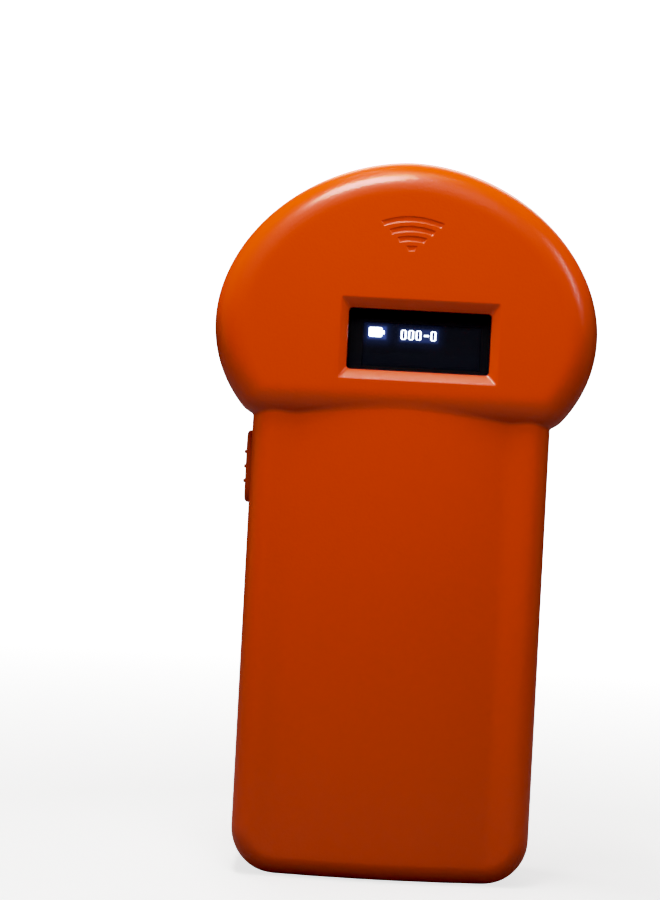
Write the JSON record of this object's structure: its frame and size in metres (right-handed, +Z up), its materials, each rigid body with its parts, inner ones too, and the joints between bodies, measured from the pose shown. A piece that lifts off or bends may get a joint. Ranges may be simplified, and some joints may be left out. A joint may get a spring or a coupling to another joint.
{
  "type": "microchip scanner",
  "caption": "Handheld pet microchip scanner with a mushroom-shaped reading head, a recessed display and a wide flat handle.",
  "frame": {"origin": "middle of the handle's flat end face, on the plane where the two casing halves meet", "axes": "+Z up the handle to the reading head; the display faces -Y; +X is on the right when looking at the display"},
  "size_m": [0.0832, 0.033, 0.1558],
  "materials": {
    "case_orange": "satin moulded ABS in burnt orange with a fine spark texture",
    "button_orange": "matt darker orange moulded cap",
    "window_black": "glossy smoked acrylic window",
    "oled_glass": "black display glass with a faint blue active area",
    "foam_black": "closed-cell foam",
    "white_plastic": "natural nylon",
    "amber_film": "amber polyimide film",
    "board_green": "green solder mask on glass-fibre board",
    "chip_black": "black moulded epoxy",
    "bare_steel": "nickel-plated steel",
    "cell_foil": "laminated pouch foil",
    "lead_red": "red lead insulation",
    "lead_black": "black lead insulation",
    "copper_wire": "enamelled copper winding wire",
    "label_film": "blank silver-grey label film"
  },
  "bodies": {
    "casing": {"front_shell": "case_orange", "rear_shell": "case_orange", "rear_label": "label_film", "display_window": "window_black", "window_gasket": "foam_black", "oled_panel": "oled_glass", "oled_carrier": "white_plastic", "oled_ribbon": "amber_film", "main_pcb": "board_green", "mcu_chip": "chip_black", "reader_chip": "chip_black", "charger_chip": "chip_black", "crystal": "bare_steel", "inductor": "chip_black", "tuning_capacitor_1": "amber_film", "tuning_capacitor_2": "amber_film", "buzzer": "chip_black", "usb_socket": "bare_steel", "tact_switch_body": "chip_black", "battery_cell": "cell_foil", "battery_pad": "foam_black", "battery_socket": "white_plastic", "battery_plug": "white_plastic", "battery_lead_red": "lead_red", "battery_lead_black": "lead_black", "antenna_coil": "copper_wire", "coil_tray": "white_plastic", "coil_lead_start": "copper_wire", "coil_lead_end": "copper_wire", "pcb_screw_1": "bare_steel", "pcb_screw_2": "bare_steel", "pcb_screw_3": "bare_steel", "pcb_screw_4": "bare_steel", "rear_screw_1": "bare_steel", "rear_screw_2": "bare_steel", "rear_screw_3": "bare_steel", "rear_screw_4": "bare_steel"},
    "button": {"scan_button": "button_orange"},
    "plunger": {"tact_switch_plunger": "white_plastic"}
  },
  "joints": [
    {"name": "button_press", "type": "slide", "parent": "casing", "child": "button", "axis": [1, 0, 0], "range_m": [0, 0.0005]},
    {"name": "plunger_press", "type": "slide", "parent": "casing", "child": "plunger", "axis": [1, 0, 0], "range_m": [0, 0.0005]}
  ],
  "couplings": [
    {"joint": "plunger_press", "follows": "button_press", "ratio": 1}
  ]
}
